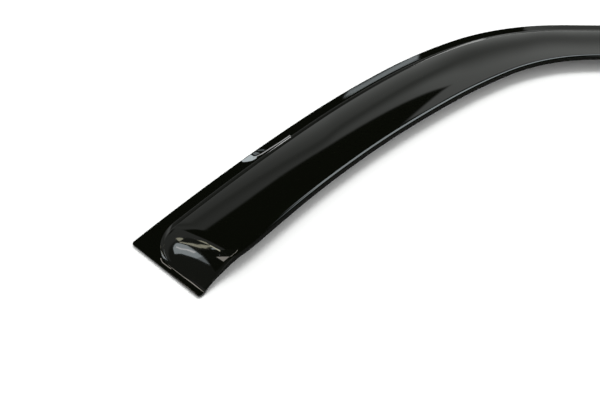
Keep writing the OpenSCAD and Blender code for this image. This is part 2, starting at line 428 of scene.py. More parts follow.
    @staticmethod
    def plain_mesh(
        name: str, places: np.ndarray, faces: np.ndarray, extra: dict[str, np.ndarray]
    ) -> bpy.types.Mesh:
        """Makes a mesh with point attributes.

        Args:
            name: the mesh's name.
            places: points, one row each.
            faces: four point numbers, one row each.
            extra: attribute name and its values, numbers or vectors.

        Returns:
            The mesh.
        """
        mesh = bpy.data.meshes.new(name)
        mesh.from_pydata(places.tolist(), [], faces.tolist())
        for key, values in extra.items():
            kind, slot = ("FLOAT_VECTOR", "vector") if values.ndim == 2 else ("FLOAT", "value")
            layer = mesh.attributes.new(key, kind, "POINT")
            layer.data.foreach_set(slot, values.astype(np.float32).ravel())
        mesh.update()
        return mesh

    # The trees

    def open_group(
        self, name: str, entries: dict[str, str]
    ) -> tuple[bpy.types.NodeTree, dict[str, Value]]:
        """Starts a tree that has every size as a named input.

        Args:
            name: the tree's name.
            entries: names and socket types of further inputs, before the sizes.

        Returns:
            The tree, and a Value for each input by name.
        """
        tree = bpy.data.node_groups.new(name, "GeometryNodeTree")
        for entry, kind in entries.items():
            tree.interface.new_socket(entry, in_out="INPUT", socket_type=kind)
        for entry, size in self.sizes().items():
            socket = tree.interface.new_socket(entry, in_out="INPUT", socket_type="NodeSocketFloat")
            socket.default_value = size
        start = tree.nodes.new("NodeGroupInput")
        return tree, {out.name: Value(tree, out) for out in start.outputs if out.name}

    def section_tree(self) -> bpy.types.NodeTree:
        """Group: distance from the outer edge and height of one place.

        Returns:
            The tree, with outputs Inward and Height.
        """
        number = "NodeSocketFloat"
        entries = dict.fromkeys(("Along", "Across", "Reach"), number)
        tree, v = self.open_group("deflector section", entries)
        for name in ("Inward", "Height"):
            tree.interface.new_socket(name, in_out="OUTPUT", socket_type=number)
        e = v["Along"].least(v["Path length"] - v["Along"])
        w = e - v["End flange"]

        def eased(x: Value, length: Value) -> Value:
            """Integral of a rise from 0 to 1 over a length."""
            share = (x / length).within(0.0, 1.0)
            return share * share * length * 0.5 + (x - length).most(0.0)

        bend_from = v["Ramp length"] + v["Ramp foot"] * 0.5 - v["Ramp top half"]
        bent = eased(w - bend_from, v["Ramp top half"] * 2.0)
        ramp = (eased(w, v["Ramp foot"]) - bent) / v["Ramp length"]
        lip_share = (w / (v["Ramp length"] + v["Ramp top half"] * 0.5)).soft()
        wide = (v["Along"] - v["Widening from"]) / (v["Widest at"] - v["Widening from"])
        slim = (v["Along"] - v["Widest at"]) / v["Widest at"]
        width = (
            v["Front width"]
            + (v["Bend width"] - v["Front width"]) * wide.soft()
            + (v["Rear width"] - v["Bend width"]) * slim.soft()
            - v["End narrowing"] * (1.0 - (e / v["Narrowing length"]).soft())
        )
        inner = v["Corner radius"] - v["Edge radius"]
        x = (v["Corner radius"] - e).most(0.0)
        cut = inner - (inner * inner - x * x).root()
        free = width - v["Edge radius"] * v["Lip angle"].cos() - cut
        # Round the nose the step runs aslant, so it is wider across, up to a limit.
        least_chord, most_stretch = 0.1, 2.2
        nose_e, nose_d = v["End flange"] + v["Nose radius"], v["Flange width"] + v["Nose radius"]
        a = (nose_e - e).within(0.0, v["Nose radius"])
        half_chord = (v["Nose radius"] * v["Nose radius"] - a * a).root()
        line = nose_d - half_chord
        stretch = (v["Nose radius"] / half_chord.most(least_chord)).least(most_stretch)
        face = v["Lip face"] - v["Edge radius"]
        lip_in = v["Lip radius"] * v["Lip angle"].sin() + face * v["Lip angle"].cos()
        start, step_end = v["Edge radius"] + cut, line + v["Step width"] * stretch
        lip_start = free - lip_in

        # A reach is a distance on the sheet, but a share of a column on the lip.
        columns_per_mm = 0.03
        on_lip = 1.0 - v["Across"].below(3.0)
        zone = [(v["Across"] - float(k)).within(0.0, 1.0) for k in range(3)]
        q = (v["Across"] - 3.0 + v["Reach"] * columns_per_mm * on_lip).within(0.0, 2.0)
        turn, straight = v["Lip angle"] * q.least(1.0), face * (q - 1.0).most(0.0)
        d = (
            start
            + zone[0] * (line - start)
            + zone[1] * (step_end - line)
            + zone[2] * (lip_start - step_end)
            + v["Reach"] * (1.0 - on_lip)
            + v["Lip radius"] * turn.sin()
            + straight * v["Lip angle"].cos()
        )
        drop = v["Lip radius"] * (1.0 - turn.cos()) + straight * v["Lip angle"].sin()

        a, b = nose_e - e, nose_d - d
        inside = v["Nose radius"] - (hypot(a.most(0.0), b.most(0.0)) + a.most(b).least(0.0))
        plain = 1.0 - ramp
        c = (inside / (v["Step width"] * (v["End step width share"] * plain + ramp))).within(0.0, 1.0)
        hollow, lead = v["Hollow share"], v["Step lead"]
        bend = (1.0 - lead * (hollow + 1.0) * 0.5) / hollow
        crest = (lead + bend * hollow * 2.0) / ((1.0 - hollow) * 2.0)
        flank = c * (lead + bend * c)
        step = (1.0 - crest * (1.0 - c) * (1.0 - c)).toward(flank, c.below(hollow))
        u = eased(d - line, v["Crown foot"])
        crown_width = v["Front width"] - v["Flange width"]
        fall = (v["Crown slope"].tan() - v["Brow slope"].tan()) / (crown_width * 2.0)
        height = (
            v["Step height"] * step * (v["End step height share"] * plain + ramp)
            + (u * v["Crown slope"].tan() - u * u * fall) * ramp
            - lip_share * drop
        )
        end = tree.nodes.new("NodeGroupOutput")
        feed(tree, end.inputs["Inward"], d)
        feed(tree, end.inputs["Height"], height)
        return tree

    def edge_path(self, v: dict[str, Value]) -> tuple[Value, Value, Value, Value]:
        """Nodes for the outer edge in plan, tangent arcs one after another.

        Args:
            v: the tree's values by name, with the distance under "Along".

        Returns:
            X and Y of the edge, its heading, and the radius there.
        """
        heading = v["Start heading"]
        x = y = begun = None
        radius = v[f"{self.ARCS[0].capitalize()} radius"]
        for arc in self.ARCS:
            r, turn = v[f"{arc.capitalize()} radius"], v[f"{arc.capitalize()} turn"]
            rest = v["Along"] if begun is None else v["Along"] - begun
            if begun is not None:
                radius = r.toward(radius, rest.below(0.0))
            turned = (rest / r).within(0.0, turn)
            middle, chord = heading - turned * 0.5, r * (turned * 0.5).sin() * 2.0
            step_x, step_y = chord * middle.cos(), chord * middle.sin()
            x, y = (step_x, step_y) if x is None else (x + step_x, y + step_y)
            begun = r * turn if begun is None else begun + r * turn
            heading = heading - turned
        return x, y, heading, radius

    def forming_tree(self) -> bpy.types.NodeTree:
        """Tree that forms the flat blank into the deflector.

        Returns:
            The tree, ending in Realize Instances and Set Material.
        """
        section = self.section_tree()
        tree, v = self.open_group(
            "deflector forming", {"Geometry": "NodeSocketGeometry", "Material": "NodeSocketMaterial"}
        )
        tree.interface.new_socket("Geometry", in_out="OUTPUT", socket_type="NodeSocketGeometry")
        start = next(node for node in tree.nodes if node.bl_idname == "NodeGroupInput")
        place = tree.nodes.new("GeometryNodeInputPosition").outputs[0]
        v["Along"], across, _ = parts(tree, place)
        push_node, depth_node = (tree.nodes.new("GeometryNodeInputNamedAttribute") for _ in range(2))
        push_node.data_type, depth_node.data_type = "FLOAT_VECTOR", "FLOAT"
        push_node.inputs["Name"].default_value = "push"
        depth_node.inputs["Name"].default_value = "depth"
        push_s, push_d, _ = parts(tree, push_node.outputs["Attribute"])
        depth = Value(tree, depth_node.outputs["Attribute"])

        def probe(along: float, reach: float) -> tuple[Value, Value]:
            """Adds the section group once, a little aside of the place.

            Args:
                along: how many reaches further along the edge.
                reach: how many reaches further inward.

            Returns:
                The distance from the edge and the height there.
            """
            node = tree.nodes.new("GeometryNodeGroup")
            node.node_tree = section
            reach_of = v["Under reach"]
            for entry in node.inputs:
                if entry.name in v:
                    feed(tree, entry, v[entry.name])
            feed(tree, node.inputs["Along"], v["Along"] + reach_of * along)
            feed(tree, node.inputs["Across"], across)
            feed(tree, node.inputs["Reach"], reach_of * reach)
            return Value(tree, node.outputs["Inward"]), Value(tree, node.outputs["Height"])

        d, z = probe(0.0, 0.0)
        d_ahead, z_ahead = probe(1.0, 0.0)
        d_behind, z_behind = probe(-1.0, 0.0)
        d_in, z_in = probe(0.0, 1.0)
        d_out, z_out = probe(0.0, -1.0)
        x, y, heading, radius = self.edge_path(v)
        span = v["Under reach"] * 2.0
        k = 1.0 - d / radius
        # Tangents in the frame along the edge, inward from it and up.
        along_t = (k, (d_ahead - d_behind) / span, (z_ahead - z_behind) / span)
        across_t = (0.0, d_in - d_out, z_in - z_out)
        normal = (
            along_t[1] * across_t[2] - along_t[2] * across_t[1],
            k * across_t[2] * -1.0,
            k * across_t[1],
        )
        size = (normal[0] * normal[0] + normal[1] * normal[1] + normal[2] * normal[2]).root()
        normal = [part / size for part in normal]
        across_size = hypot(across_t[1], across_t[2])
        side = (0.0, across_t[1] / across_size, across_t[2] / across_size)
        ahead = (
            side[1] * normal[2] - side[2] * normal[1],
            side[2] * normal[0],
            side[1] * normal[0] * -1.0,
        )
        local = [
            ahead[0] * push_s - normal[0] * depth,
            ahead[1] * push_s + side[1] * push_d - normal[1] * depth,
            ahead[2] * push_s + side[2] * push_d - normal[2] * depth,
        ]
        inward, up = d + local[1], z + local[2]
        sin_h, cos_h = heading.sin(), heading.cos()
        top = v["Bed height"] + v["Wall"]
        formed = vector(
            tree,
            (x + local[0] * cos_h + inward * sin_h) * MM,
            (y + local[0] * sin_h - inward * cos_h) * MM,
            (up + top) * MM,
        )
        move = tree.nodes.new("GeometryNodeSetPosition")
        feed(tree, move.inputs["Geometry"], start.outputs["Geometry"])
        feed(tree, move.inputs["Position"], formed)
        smooth = tree.nodes.new("GeometryNodeSetShadeSmooth")
        realize = tree.nodes.new("GeometryNodeRealizeInstances")
        paint = tree.nodes.new("GeometryNodeSetMaterial")
        end = tree.nodes.new("NodeGroupOutput")
        feed(tree, paint.inputs["Material"], start.outputs["Material"])
        chain = (move, smooth, realize, paint, end)
        for a, b in zip(chain[:-1], chain[1:]):
            tree.links.new(a.outputs["Geometry"], b.inputs["Geometry"])
        return tree

    def build(self, material: bpy.types.Material) -> bpy.types.Object:
        """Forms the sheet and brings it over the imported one.

        Args:
            material: the sheet's finish.

        Returns:
            The piece, a plain mesh.
        """
        blank = bpy.data.objects.new("visor_blank", self.blank())
        bpy.context.scene.collection.objects.link(blank)
        tree = self.forming_tree()
        modifier = blank.modifiers.new("forming", "NODES")
        modifier.node_group = tree
        sizes = self.sizes()
        for item in tree.interface.items_tree:
            if item.in_out == "INPUT" and item.name in sizes:
                modifier[item.identifier] = sizes[item.name]
            elif item.in_out == "INPUT" and item.name == "Material":
                modifier[item.identifier] = material
        graph = bpy.context.evaluated_depsgraph_get()
        mesh = bpy.data.meshes.new_from_object(blank.evaluated_get(graph), depsgraph=graph)
        blank.modifiers.remove(modifier)
        bpy.data.objects.remove(blank)
        low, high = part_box("visor")
        points = np.zeros(len(mesh.vertices) * 3, np.float32)
        mesh.vertices.foreach_get("co", points)
        points = points.reshape(-1, 3)
        middle = (points.min(0) + points.max(0)) / 2
        points[:, :2] += (np.array((low + high) / 2) - middle)[:2]
        mesh.vertices.foreach_set("co", points.ravel())
        for name in ("push", "depth"):
            if name in mesh.attributes:
                mesh.attributes.remove(mesh.attributes[name])
        mesh.update()
        mesh.name = "visor_sheet"
        piece = bpy.data.objects.new("visor_sheet", mesh)
        bpy.context.scene.collection.objects.link(piece)
        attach(piece, "root")
        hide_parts("visor")
        return piece


# Finishes


def shader_group(
    name: str, entries: dict[str, float], outputs: dict[str, str]
) -> tuple[bpy.types.NodeTree, dict[str, Value], bpy.types.Node]:
    """Starts a shader node group with named inputs and outputs.

    Args:
        name: the group's name.
        entries: number inputs and their values.
        outputs: output names and their socket types.

    Returns:
        The tree, its inputs as Values, and its output node.
    """
    tree = bpy.data.node_groups.new(name, "ShaderNodeTree")
    for entry, value in entries.items():
        tree.interface.new_socket(entry, in_out="INPUT", socket_type="NodeSocketFloat").default_value = value
    for entry, kind in outputs.items():
        tree.interface.new_socket(entry, in_out="OUTPUT", socket_type=kind)
    start, end = tree.nodes.new("NodeGroupInput"), tree.nodes.new("NodeGroupOutput")
    return tree, {out.name: Value(tree, out) for out in start.outputs if out.name}, end


def noise(
    tree: bpy.types.NodeTree, scale: object, detail: float = 2.0, stretch: Sequence[float] = (1, 1, 1)
) -> Value:
    """Noise over Object coordinates.

    Args:
        tree: the shader tree.
        scale: number of cells to a metre.
        detail: octaves.
        stretch: scale of each axis.

    Returns:
        The noise, about 0.5 on average.
    """
    coords = tree.nodes.new("ShaderNodeTexCoord")
    mapping = tree.nodes.new("ShaderNodeMapping")
    mapping.inputs["Scale"].default_value = stretch
    texture = tree.nodes.new("ShaderNodeTexNoise")
    tree.links.new(coords.outputs["Object"], mapping.inputs["Vector"])
    tree.links.new(mapping.outputs["Vector"], texture.inputs["Vector"])
    feed(tree, texture.inputs["Scale"], scale)
    texture.inputs["Detail"].default_value = detail
    return Value(tree, texture.outputs["Fac"])


def handling_marks() -> bpy.types.NodeTree:
    """Group: dust and faint hairlines, for any smooth plastic face.

    Returns:
        The group, with outputs Dust (0 to 1), Hairlines (0 to 1) and Waviness.
    """
    tree, v, end = shader_group(
        "handling marks",
        {"Dust size": 900.0, "Dust share": 0.28, "Hairline size": 260.0, "Wave size": 28.0},
        {"Dust": "NodeSocketFloat", "Hairlines": "NodeSocketFloat", "Waviness": "NodeSocketFloat"},
    )
    cloud_size, second_size = 0.6, 0.7
    dust_contrast, hairline_start, hairline_contrast = 9.0, 0.66, 10.0
    grain = noise(tree, v["Dust size"], 3.0)
    cloud = noise(tree, v["Wave size"] * cloud_size, 2.0)
    dust = ((grain - (1.0 - v["Dust share"])) * dust_contrast).within(0.0, 1.0) * cloud.within(0.0, 1.0)
    hair_a = noise(tree, v["Hairline size"], 2.0, (1.0, 0.035, 1.0))
    hair_b = noise(tree, v["Hairline size"] * second_size, 2.0, (0.05, 1.0, 1.0))
    lines = ((hair_a.most(hair_b) - hairline_start) * hairline_contrast).within(0.0, 1.0)
    feed(tree, end.inputs["Dust"], dust)
    feed(tree, end.inputs["Hairlines"], lines)
    feed(tree, end.inputs["Waviness"], noise(tree, v["Wave size"], 1.0))
    return tree


def open_material(name: str) -> tuple[bpy.types.Material, bpy.types.NodeTree, bpy.types.Node]:
    """Starts a node material.

    Args:
        name: the material's name.

    Returns:
        The material, its tree and its Principled BSDF.
    """
    material = bpy.data.materials.new(name)
    material.use_nodes = True
    tree = material.node_tree
    shader = next(node for node in tree.nodes if node.bl_idname == "ShaderNodeBsdfPrincipled")
    return material, tree, shader


def place_group(
    tree: bpy.types.NodeTree, group: bpy.types.NodeTree, values: dict[str, float]
) -> dict[str, Value]:
    """Places a shader group in a material.

    Args:
        tree: the material's tree.
        group: the group.
        values: values of its inputs.

    Returns:
        Its outputs by name.
    """
    node = tree.nodes.new("ShaderNodeGroup")
    node.node_tree = group
    for entry, value in values.items():
        node.inputs[entry].default_value = value
    return {out.name: Value(tree, out) for out in node.outputs}


def blend_colour(tree: bpy.types.NodeTree, share: Value, a: Colour, b: Colour) -> bpy.types.NodeSocket:
    """Mixes two colours over the surface.

    Args:
        tree: the material's tree.
        share: 0 for the first colour, 1 for the second.
        a: first colour.
        b: second colour.

    Returns:
        The colour socket.
    """
    node = tree.nodes.new("ShaderNodeMix")
    node.data_type = "RGBA"
    feed(tree, node.inputs["Factor"], share)
    colours = [s for s in node.inputs if s.type == "RGBA"]
    colours[0].default_value, colours[1].default_value = (*a, 1.0), (*b, 1.0)
    return next(s for s in node.outputs if s.type == "RGBA")


def bump(tree: bpy.types.NodeTree, shader: bpy.types.Node, height: Value, depth: float) -> None:
    """Feeds a height in metres into the shader's normal.

    Args:
        tree: the material's tree.
        shader: its Principled BSDF.
        height: the height, as a share of the depth.
        depth: how deep the relief is.
    """
    node = tree.nodes.new("ShaderNodeBump")
    node.inputs["Strength"].default_value = 1.0
    node.inputs["Distance"].default_value = depth
    feed(tree, node.inputs["Height"], height)
    tree.links.new(node.outputs["Normal"], shader.inputs["Normal"])


@dataclass(frozen=True)
class SmokedAcrylic:
    """Polished smoked acrylic: near-black with an olive cast."""

    deep: Colour = (0.0022, 0.0026, 0.0014)
    dusty: Colour = (0.012, 0.012, 0.010)
    dust_cover: float = 0.6
    polish: float = 0.035
    worn: float = 0.10
    hairline_wear: float = 0.02
    wave_depth: float = 0.00001
    ior: float = 1.49

    def make(self, marks: bpy.types.NodeTree) -> bpy.types.Material:
        """Builds the material.

        Args:
            marks: the group of handling marks.

        Returns:
            The material.
        """
        material, tree, shader = open_material("polished_smoked_acrylic")
        out = place_group(tree, marks, {"Dust size": 1300.0, "Dust share": 0.24, "Wave size": 22.0})
        colour = blend_colour(tree, out["Dust"] * self.dust_cover, self.deep, self.dusty)
        wear = out["Dust"] * (self.worn - self.polish) + out["Hairlines"] * self.hairline_wear
        feed(tree, shader.inputs["Base Color"], colour)
        feed(tree, shader.inputs["Roughness"], wear + self.polish)
        feed(tree, shader.inputs["IOR"], self.ior)
        bump(tree, shader, out["Waviness"], self.wave_depth)
        return material


@dataclass(frozen=True)
class ClosedCellFoam:
    """Dark closed-cell foam of the bonding strips."""

    dark: Colour = (0.018, 0.018, 0.019)
    light: Colour = (0.060, 0.060, 0.062)
    cells_per_metre: float = 4200.0
    cell_depth: float = 0.00006
    roughness: float = 0.78
    cell_wear: float = 0.15
    dust_wear: float = 0.05

    def make(self, marks: bpy.types.NodeTree) -> bpy.types.Material:
        """Builds the material.

        Args:
            marks: the group of handling marks.

        Returns:
            The material.
        """
        material, tree, shader = open_material("closed_cell_foam")
        out = place_group(tree, marks, {"Dust size": 2500.0, "Dust share": 0.35})
        cells = noise(tree, self.cells_per_metre, 3.0)
        wear = cells * self.cell_wear + out["Dust"] * self.dust_wear
        feed(tree, shader.inputs["Base Color"], blend_colour(tree, cells, self.dark, self.light))
        feed(tree, shader.inputs["Roughness"], (wear + self.roughness).within(0.0, 1.0))
        bump(tree, shader, cells, self.cell_depth)
        return material


@dataclass(frozen=True)
class LinerFilm:
    """Thin satin film that covers the adhesive."""

    film: Colour = (0.46, 0.022, 0.018)
    faded: Colour = (0.62, 0.075, 0.055)
    wave_depth: float = 0.00012
    roughness: float = 0.32
    hairline_wear: float = 0.12
    dust_wear: float = 0.1
    ior: float = 1.55

    def make(self, marks: bpy.types.NodeTree) -> bpy.types.Material:
        """Builds the material.

        Args:
            marks: the group of handling marks.

        Returns:
            The material.
        """
        material, tree, shader = open_material("satin_liner_film")
        out = place_group(tree, marks, {"Wave size": 70.0, "Dust share": 0.3})
        wear = out["Hairlines"] * self.hairline_wear + out["Dust"] * self.dust_wear
        feed(tree, shader.inputs["Base Color"], blend_colour(tree, out["Waviness"], self.film, self.faded))
        feed(tree, shader.inputs["Roughness"], wear + self.roughness)
        feed(tree, shader.inputs["IOR"], self.ior)
        bump(tree, shader, out["Waviness"], self.wave_depth)
        return material


@dataclass
class BondingStrips:
    """Foam strips and release liners, kept as they are packed."""

    places: tuple[str, ...] = ("pillar", "bend", "roof", "front", "rear")
    kinds: tuple[tuple[str, Slot], ...] = (("tape", Slot.FOAM), ("liner", Slot.LINER))

    def dress(self, finishes: dict[Slot, bpy.types.Material]) -> None:
        """Gives each packed strip its finish.

        Args:
            finishes: the material for each slot of the record.
        """
        for place in self.places:
            for kind, slot in self.kinds:
                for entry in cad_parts[f"{kind}_{place}"].material_slots:
                    entry.material = finishes[slot]
                LOG.info("%s_%s: %s", kind, place, finishes[slot].name)


# Studio


def dome_place(azimuth: float, height: float, radius: float) -> Vector:
    """Point of a sphere round the object.

    Args:
        azimuth: degrees clockwise from straight behind the object.
        height: degrees above the table.
        radius: the sphere's radius.

    Returns:
        The point.
    """
    a, h = math.radians(azimuth), math.radians(height)
    return Vector((math.cos(h) * math.sin(a), math.cos(h) * math.cos(a), math.sin(h))) * radius


def row_faces(rows: int, count: int, closed: bool) -> Faces:
    """Faces between rows of points.

    Args:
        rows: number of rows.
        count: number of points in each row.
        closed: whether the end of a row joins its start.

    Returns:
        The point numbers of each face.
    """
    ahead = [(i, (i + 1) % count) for i in range(count if closed else count - 1)]
    return [
        (r * count + i, r * count + j, (r + 1) * count + j, (r + 1) * count + i)
        for r in range(rows - 1)
        for i, j in ahead
    ]


def empty_material(name: str) -> tuple[bpy.types.Material, bpy.types.NodeTree]:
    """Starts a material with an empty tree.

    Args:
        name: the material's name.

    Returns:
        The material and its tree.
    """
    material = bpy.data.materials.new(name)
    material.use_nodes = True
    material.node_tree.nodes.clear()
    return material, material.node_tree


def emission(tree: bpy.types.NodeTree, strength: object, colour: Colour = WHITE) -> bpy.types.NodeSocket:
    """Adds a light of its own to a material.

    Args:
        tree: the material's tree.
        strength: how bright it is.
        colour: its colour.

    Returns:
        The shader socket.
    """
    node = tree.nodes.new("ShaderNodeEmission")
    node.inputs["Color"].default_value = (*colour, 1)
    feed(tree, node.inputs["Strength"], strength)
    return node.outputs[0]


def to_surface(tree: bpy.types.NodeTree, shader: bpy.types.NodeSocket) -> None:
    """Ends a material's tree with a shader."""
    out = tree.nodes.new("ShaderNodeOutputMaterial")
    tree.links.new(shader, out.inputs["Surface"])


@dataclass(frozen=True)
class GlossPanel:
    """A lit panel that only the gloss shows, bright inside and soft at its rim.

    Places are azimuth and height in degrees. A closed panel is filled from its
    middle. An open one is a strip along the line, of the given width.
    """

    name: str
    line: tuple[tuple[float, ...], ...]
    strength: float
    colour: Colour = WHITE
    width: float = 0.0
    feather: float = 0.10
    distance: float = 2.9

    # Share of a strip's half width that is fully bright, and size of a panel's innermost ring.
    BRIGHT_WIDTH = 0.45
    CORE = 0.02

    @staticmethod
    def headings(points: Sequence[Vector]) -> list[Vector]:
        """Direction of a line at each of its points."""
        last = len(points) - 1
        return [points[min(i + 1, last)] - points[max(i - 1, 0)] for i in range(last + 1)]

    def sides(self, points: Sequence[Vector]) -> list[Vector]:
        """Half the width of a strip, sideways.

        Args:
            points: the middle line.

        Returns:
            The step from each point to the strip's edge.
        """
        sides = []
        for point, ahead in zip(points, self.headings(points)):
            shrink = math.cos(math.radians(point.y))
            across = Vector((-ahead.y / shrink, ahead.x * shrink)).normalized() * self.width / 2
            sides.append(Vector((across.x / shrink, across.y)))
        return sides

    def rings(self) -> Rows:
        """Rows of places and how bright each row is.

        Returns:
            For a strip its edges and the bright stretch between them, for a
            panel a small ring round its middle, its bright area and its rim.
        """
        points = [Vector(point) for point in self.line]
        if self.width:
            levels = ((-1.0, 0.0), (-self.BRIGHT_WIDTH, 1.0), (self.BRIGHT_WIDTH, 1.0), (1.0, 0.0))
            sides = self.sides(points)
            return [([tuple(q + r * k) for q, r in zip(points, sides)], level) for k, level in levels]
        middle = sum(points[1:], points[0]) / len(points)
        levels = ((self.CORE, 1.0), (1 - self.feather, 1.0), (1 + self.feather, 0.0))
        return [([tuple(middle + (q - middle) * k) for q in points], level) for k, level in levels]

    def place(self, spot: Sequence[float]) -> Vector:
        """Where a place lies in the scene."""
        return dome_place(*spot, self.distance)

    def mesh(self) -> bpy.types.Mesh:
        """Builds the panel's mesh with attribute "fade".

        Returns:
            The mesh.
        """
        rows, count = self.rings(), len(self.line)
        places = [self.place(spot) for row, _ in rows for spot in row]
        mesh = bpy.data.meshes.new(self.name)
        mesh.from_pydata(places, [], row_faces(len(rows), count, closed=not self.width))
        layer = mesh.attributes.new("fade", "FLOAT", "POINT")
        layer.data.foreach_set("value", [level for _, level in rows for _ in range(count)])
        return mesh

    def material(self) -> bpy.types.Material:
        """Emission that fades out towards the rim.

        Returns:
            The material.
        """
        material, tree = empty_material(f"{self.name}_light")
        fade = tree.nodes.new("ShaderNodeAttribute")
        fade.attribute_name = "fade"
        clear, both = tree.nodes.new("ShaderNodeBsdfTransparent"), tree.nodes.new("ShaderNodeMixShader")
        feed(tree, both.inputs["Fac"], Value(tree, fade.outputs["Fac"]).soft())
        tree.links.new(clear.outputs[0], both.inputs[1])
        tree.links.new(emission(tree, self.strength, self.colour), both.inputs[2])
        to_surface(tree, both.outputs[0])
        return material


@dataclass(frozen=True)
class CloseCard(GlossPanel):
    """A small card held just over the gloss, which paints a reflection, lit or dark, on the sheet right
    under it; its places are x, y and z in millimetres.
    """

    BRIGHT_WIDTH = 0.6

    def sides(self, points: Sequence[Vector]) -> list[Vector]:
        """Half the width of a strip, sideways and level.

        Args:
            points: the middle line.

        Returns:
            The step from each point to the strip's edge.
        """
        up = Vector((0, 0, 1))
        return [ahead.cross(up).normalized() * self.width / 2 for ahead in self.headings(points)]

    def place(self, spot: Sequence[float]) -> Vector:
        """Where a place lies in the scene."""
        return Vector(spot) * MM


def rise(x: Value, start: float, width: float) -> Value:
    """Smooth rise from 0 at the start to 1 at a width further."""
    return ((x - start) / width).soft()


@dataclass(frozen=True)
class WallPaint:
    """Paint of the studio's walls: a pale cloth below a dark room.

    A curve gives heights or levels by azimuth. An edge or a side is its start
    and its width. All of these are in degrees, and levels are brightnesses.
    """

    # Where the cloth ends, and the screen that stands beside it.
    top: Curve = (
        (-64, 56), (-54, 56), (-52.5, 50), (-51, 43), (-49, 36.5), (-46.5, 31), (-43, 28.6), (-38, 28),
        (-34, 28.3), (-28, 28.2), (-20, 27.2), (-12, 26.4), (-6, 25.3), (0, 24.1), (4, 23.6), (60, 23.2),
    )
    top_width: float = 0.9
    screen_top: Curve = (
        (-60, 31), (4, 31), (8, 29.5), (12, 27.5), (18, 25), (21.5, 24.2), (23.5, 29), (30, 31), (60, 31),
    )
    screen_top_width: float = 2.0
    screen_side: tuple[float, float] = (7.2, 1.2)
    screen_lean: float = 1.04
    screen_level_at: float = 24.0
    # Where the cloth's fold lies, and how the cloth brightens above it.
    fold: Curve = (
        (-60, 24.5), (-26, 24.5), (-16, 24.5), (-10, 22.8), (-6, 21.6), (0, 19.5), (4, 17.8), (8, 15.7),
        (12, 13.7), (18, 10.5), (24, 7.2), (60, 3),
    )
    rise_width: Curve = ((-60, 3.0), (-10, 2.6), (0, 3.2), (8, 5.0), (15, 8.0), (60, 9.0))
    rise_level: Curve = (
        (-60, 0.10), (-34, 0.10), (-26, 0.13), (-16, 0.20), (-10, 0.27), (0, 0.33), (8, 0.44), (60, 0.36),
    )
    upper_level: float = 0.24
    # Below the fold: a soft light, a band along it, and the lower part of the cloth.
    under_width: float = 6.5
    under_level: float = 0.46
    band_width: float = 1.5
    band_end: tuple[float, float] = (2.0, 8.0)
    band_level: float = 0.10
    lower_below_fold: float = 9.5
    lower_width: float = 1.6
    base_level: Curve = (
        (-60, 0.03), (-13, 0.035), (-5, 0.065), (2, 0.09), (8, 0.15), (12, 0.2), (16, 0.35), (21, 0.6),
        (60, 0.6),
    )
    lower_rise: tuple[float, float] = (4.0, 9.0)
    lower_level: float = 0.12
    # The room is dimmer at the far left, on the lip's side and high up at the right.
    left_side: tuple[float, float] = (-59.0, 3.0)
    left_top: tuple[float, float] = (31.0, 5.0)
    left_dimming: float = 0.7
    lip_side: tuple[float, float] = (85.0, 10.0)
    lip_side_end: tuple[float, float] = (135.0, 12.0)
    right_side: tuple[float, float] = (20.0, 8.0)
    right_foot: tuple[float, float] = (21.0, 3.0)
    right_dimming: float = 0.5
    room_level: float = 0.006
    colour: Colour = (0.97, 1.0, 0.97)

    @staticmethod
    def curve(tree: bpy.types.NodeTree, x: Value, points: Curve) -> Value:
        """A smooth curve through points, by a Float Curve node.

        Args:
            tree: the tree.
            x: its argument.
            points: argument and result pairs, arguments rising.

        Returns:
            The curve's value, level beyond its ends.
        """
        left, right = points[0][0], points[-1][0]
        low = min(b for _, b in points)
        span = (max(b for _, b in points) - low) or 1.0
        node = tree.nodes.new("ShaderNodeFloatCurve")
        line = node.mapping.curves[0]
        while len(line.points) < len(points):
            line.points.new(0.5, 0.5)
        for point, (a, b) in zip(line.points, points):
            point.location = ((a - left) / (right - left), (b - low) / span)
            point.handle_type = "AUTO_CLAMPED"
        node.mapping.update()
        feed(tree, node.inputs["Value"], ((x - left) / (right - left)).within(0.0, 1.0))
        return Value(tree, node.outputs[0]) * span + low

    def make(self, radius: float) -> bpy.types.Material:
        """Builds the paint.

        Args:
            radius: the walls' distance from the middle of the object.

        Returns:
            The emissive material.
        """
        material, tree = empty_material("studio_paint")
        coords = tree.nodes.new("ShaderNodeTexCoord")
        x, y, z = parts(tree, coords.outputs["Object"])
        azimuth = x.math("ARCTAN2", y) * (180 / math.pi)
        height = (z / radius).within(-1.0, 1.0).math("ARCSINE") * (180 / math.pi)
        curves = (self.top, self.fold, self.rise_width, self.rise_level, self.base_level, self.screen_top)
        top, fold, rise_width, rise_level, base, screen_top = (
            self.curve(tree, azimuth, points) for points in curves
        )
        cloth = ((top - height) / self.top_width + 0.5).soft()
        side, side_width = self.screen_side
        leaning = azimuth + (height - self.screen_level_at) * self.screen_lean
        beside = ((leaning - side) / side_width + 0.5).soft()
        screen = beside * rise(screen_top - height, 0.0, self.screen_top_width)
        under = ((fold - height) / self.under_width).within(0.0, 1.0)
        band = rise(fold - height, 0.0, self.band_width) * (1.0 - rise(azimuth, *self.band_end))
        above = rise_level * ((height - fold) / rise_width).soft()
        upper = above + under * under * self.under_level + band * self.band_level + self.upper_level
        lower = base + rise(height, *self.lower_rise) * self.lower_level
        lit = lower.toward(upper, ((height - fold + self.lower_below_fold) / self.lower_width + 0.5).soft())
        left = rise(azimuth, *self.left_side).toward(1.0, 1.0 - rise(height, *self.left_top))
        lip = 1.0 - rise(azimuth, *self.lip_side) * (1.0 - rise(azimuth, *self.lip_side_end))
        right = 1.0 - rise(azimuth, *self.right_side) * rise(height, *self.right_foot) * self.right_dimming
        dimmed = left * self.left_dimming + (1 - self.left_dimming)
        level = lit * cloth.most(screen) * dimmed * lip * right + self.room_level
        to_surface(tree, emission(tree, level, self.colour))
        return material


